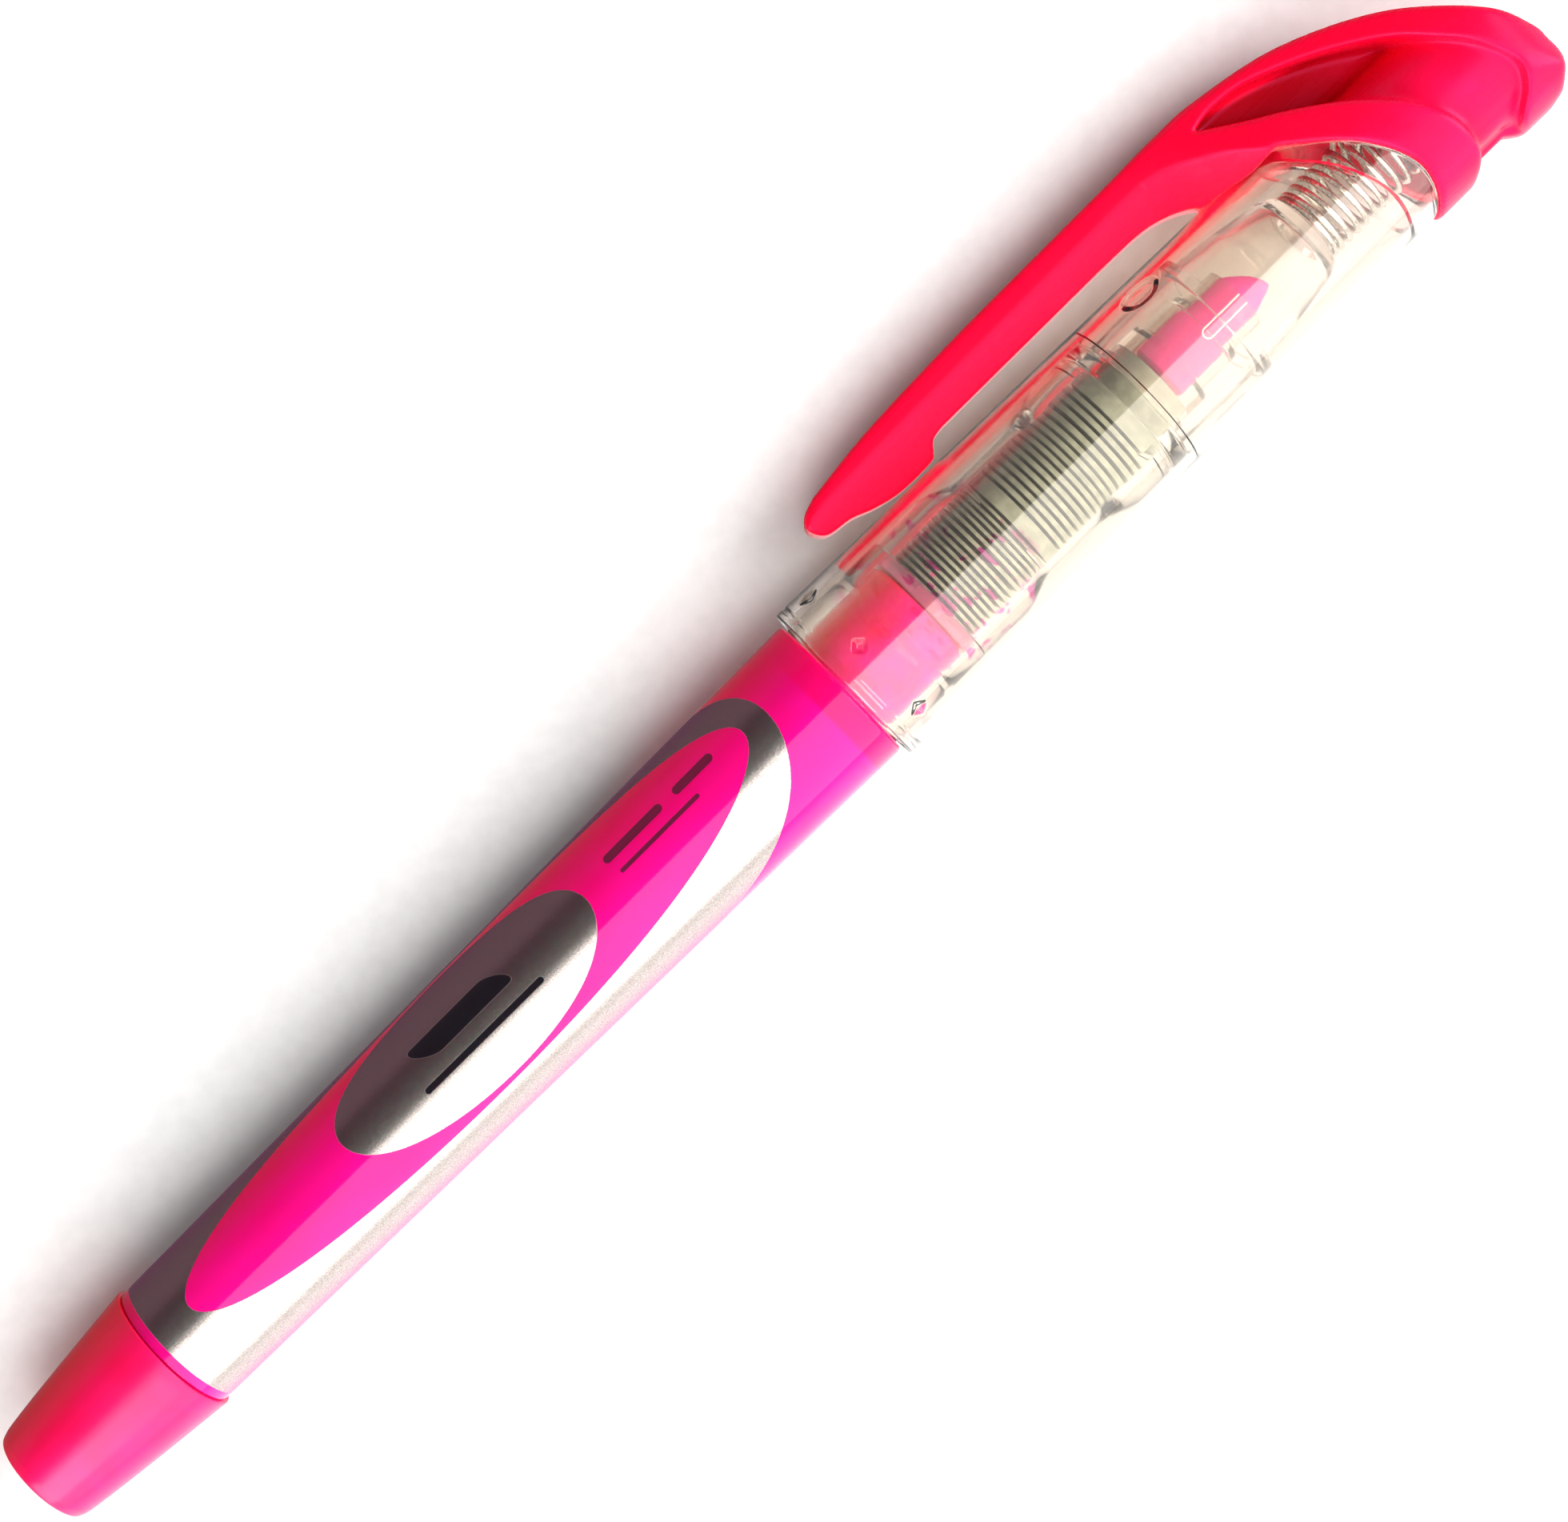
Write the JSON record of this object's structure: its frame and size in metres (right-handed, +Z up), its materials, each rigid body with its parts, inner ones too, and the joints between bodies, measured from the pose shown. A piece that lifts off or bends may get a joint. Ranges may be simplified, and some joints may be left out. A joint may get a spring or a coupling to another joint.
{
  "type": "highlighter pen",
  "caption": "Capped liquid-ink highlighter: tapered translucent barrel, comb feed, chisel tip, clear pull-off cap with spring-loaded inner cap and an arched clip.",
  "frame": {"origin": "centre of the object's bounding box in plan, on the table that the pen lies on", "axes": "+X along the pen from its tail to the head of the cap, +Y to the side that the clip is on, +Z up"},
  "size_m": [0.145, 0.0189, 0.0136],
  "materials": {
    "tail_plastic": "glossy moulded red-pink plastic",
    "barrel_plastic": "glossy translucent magenta plastic with a satin silver print",
    "clear_plastic": "clear moulded plastic",
    "partition_plastic": "clear plastic stained by ink",
    "ink": "fluorescent pink liquid ink",
    "comb_plastic": "dark grey-green matte plastic, fine fins",
    "wick_fibre": "ink-soaked fibre",
    "tip_fibre": "ink-soaked porous fibre",
    "cap_clear": "clear glossy moulded plastic",
    "crown_plastic": "semi-gloss red-pink moulded plastic",
    "inner_clear": "milky clear moulded plastic",
    "spring_steel": "bright drawn spring wire"
  },
  "bodies": {
    "pen": {"tail_plug": "tail_plastic", "barrel": "barrel_plastic", "front_section": "clear_plastic", "ink_partition": "partition_plastic", "ink_fill": "ink", "comb_feed": "comb_plastic", "feed_wick": "wick_fibre", "tip_holder": "clear_plastic", "chisel_tip": "tip_fibre"},
    "spring": {"cap_spring": "spring_steel"},
    "cap": {"cap_tube": "cap_clear", "cap_crown": "crown_plastic"},
    "inner_cap": {"inner_cap": "inner_clear"},
    "clip": {"clip_arm": "crown_plastic"}
  },
  "joints": [
    {"name": "cap_pull", "type": "slide", "parent": "pen", "child": "spring", "axis": [1, 0, 0], "range_m": [0, 0.07]},
    {"name": "cap_turn", "type": "hinge", "parent": "spring", "child": "cap", "pos_m": [0.05, -0.00274, 0.00678], "axis": [1, 0, 0], "continuous": true},
    {"name": "inner_cap_float", "type": "slide", "parent": "cap", "child": "inner_cap", "axis": [1, 0, 0], "range_m": [0, 0.0015], "stiffness_N_per_m": 180, "springref_m": -0.003, "deforming": ["cap_spring"]},
    {"name": "clip_flex", "type": "hinge", "parent": "cap", "child": "clip", "pos_m": [0.0441, 0.00847, 0.0028], "axis": [0, -0.3341, -0.9425], "range_deg": [0, 4], "stiffness_Nm_per_rad": 3}
  ]
}
